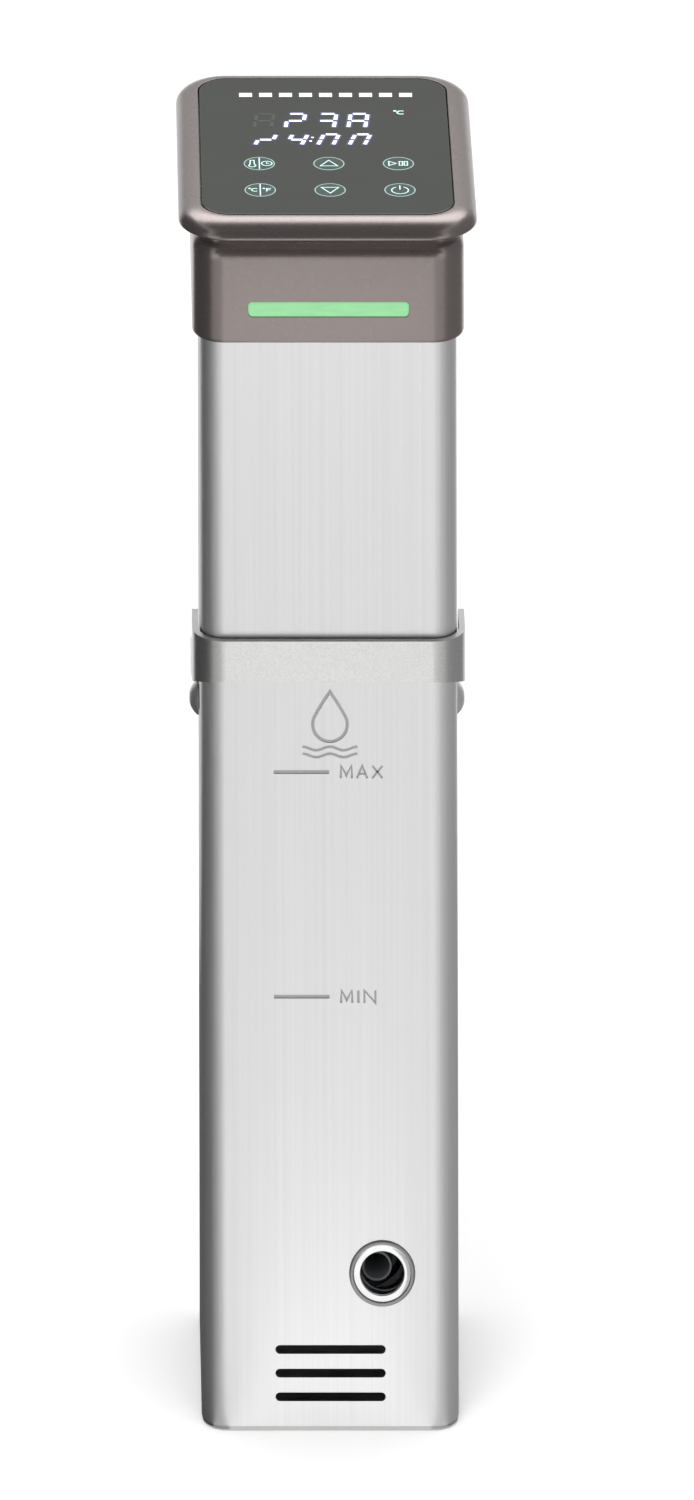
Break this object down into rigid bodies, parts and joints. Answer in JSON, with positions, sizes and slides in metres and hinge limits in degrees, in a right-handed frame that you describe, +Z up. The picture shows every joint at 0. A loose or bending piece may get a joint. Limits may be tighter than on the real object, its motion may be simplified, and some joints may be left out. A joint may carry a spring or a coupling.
{
  "type": "sous vide circulator",
  "caption": "Immersion water circulator: steel tube with inlet slots and outlet, touch-panel head, heater, motor and pump inside, and a strap clamp with a screw and pad.",
  "frame": {"origin": "middle of the flat base under the steel tube", "axes": "+Z up along the tube, -Y towards the front face with the outlet, +X to the right seen from the front"},
  "size_m": [0.0958, 0.1427, 0.388],
  "materials": {
    "brushed_tube": "brushed along its length",
    "blasted_strap": "pickled and bead blasted",
    "plate_steel": "satin plate",
    "bright_steel": "polished",
    "zinc_steel": "zinc plated",
    "bronze_housing": "satin bronze lacquer",
    "panel_glass": "dark printed glass",
    "green_light": "lit green diffuser",
    "black_rubber": "moulded",
    "red_silicone": "moulded silicone",
    "black_nylon": "moulded nylon",
    "grey_polymer": "moulded, heat resistant",
    "white_polymer": "moulded",
    "blue_polymer": "relay case",
    "brass_part": "turned",
    "heater_sheath": "oxidised alloy sheath",
    "aluminium_part": "extruded",
    "circuit_board": "solder mask",
    "motor_black": "lacquered",
    "magnet_grey": "sintered",
    "copper_core": "wound copper and laminations",
    "yellow_tape": "wound bobbin tape"
  },
  "bodies": {
    "circulator": {"steel_tube": "brushed_tube", "base_cap": "plate_steel", "outlet_collar": "bright_steel", "outlet_nut": "plate_steel", "outlet_pipe": "grey_polymer", "pump_housing": "grey_polymer", "pump_cover": "grey_polymer", "pump_screws": "zinc_steel", "pump_bush": "brass_part", "support_rods": "plate_steel", "heater_coil": "heater_sheath", "heater_glands": "brass_part", "temperature_probe": "bright_steel", "level_rods": "bright_steel", "thermal_cutout": "white_polymer", "bulkhead": "white_polymer", "bulkhead_seal": "red_silicone", "shaft_seal": "black_rubber", "side_screws": "bright_steel", "side_washers": "black_rubber", "motor_standoffs": "brass_part", "motor_mount": "plate_steel", "motor_can": "zinc_steel", "motor_end_bell": "black_nylon", "motor_magnets": "magnet_grey", "motor_bearings": "bright_steel", "tube_collar": "grey_polymer", "collar_screws": "zinc_steel", "head_housing": "bronze_housing", "neck_gasket": "black_rubber", "head_bezel": "bronze_housing", "bezel_screws": "zinc_steel", "display_glass": "panel_glass", "glass_tape": "black_rubber", "display_board": "circuit_board", "digit_modules": "black_nylon", "key_springs": "brass_part", "power_board": "circuit_board", "board_posts": "brass_part", "transformer": "yellow_tape", "relay": "blue_polymer", "heat_sink": "aluminium_part", "light_bar": "green_light", "light_board": "white_polymer", "cord_gland": "black_nylon", "gland_nut": "black_nylon"},
    "pump_rotor": {"impeller": "white_polymer", "pump_shaft": "bright_steel", "shaft_coupling": "aluminium_part", "motor_armature": "copper_core", "cooling_fan": "black_nylon"},
    "clamp_frame": {"clamp_strap": "blasted_strap", "clamp_hook": "plate_steel", "hook_rivets": "plate_steel", "hook_liner": "black_rubber", "screw_bush": "plate_steel"},
    "clamp_pad": {"pressure_pad": "plate_steel", "pad_rubber": "black_rubber"},
    "clamp_screw_body": {"clamp_screw": "zinc_steel", "clamp_knob": "black_nylon"}
  },
  "joints": [
    {"name": "pump_spin", "type": "hinge", "parent": "circulator", "child": "pump_rotor", "pos_m": [0, 0, 0.12], "axis": [0, 0, 1], "continuous": true},
    {"name": "clamp_height", "type": "slide", "parent": "circulator", "child": "clamp_frame", "axis": [0, 0, 1], "range_m": [0, 0.08]},
    {"name": "pad_travel", "type": "slide", "parent": "clamp_frame", "child": "clamp_pad", "axis": [0, -1, 0], "range_m": [-0.0072, 0.0057]},
    {"name": "knob_turn", "type": "hinge", "parent": "clamp_pad", "child": "clamp_screw_body", "pos_m": [0, 0.08, 0.2245], "axis": [0, -1, 0], "range_deg": [-1300, 1030]}
  ],
  "couplings": [
    {"joint": "knob_turn", "follows": "pad_travel", "rad_per_m": 3141.6}
  ]
}
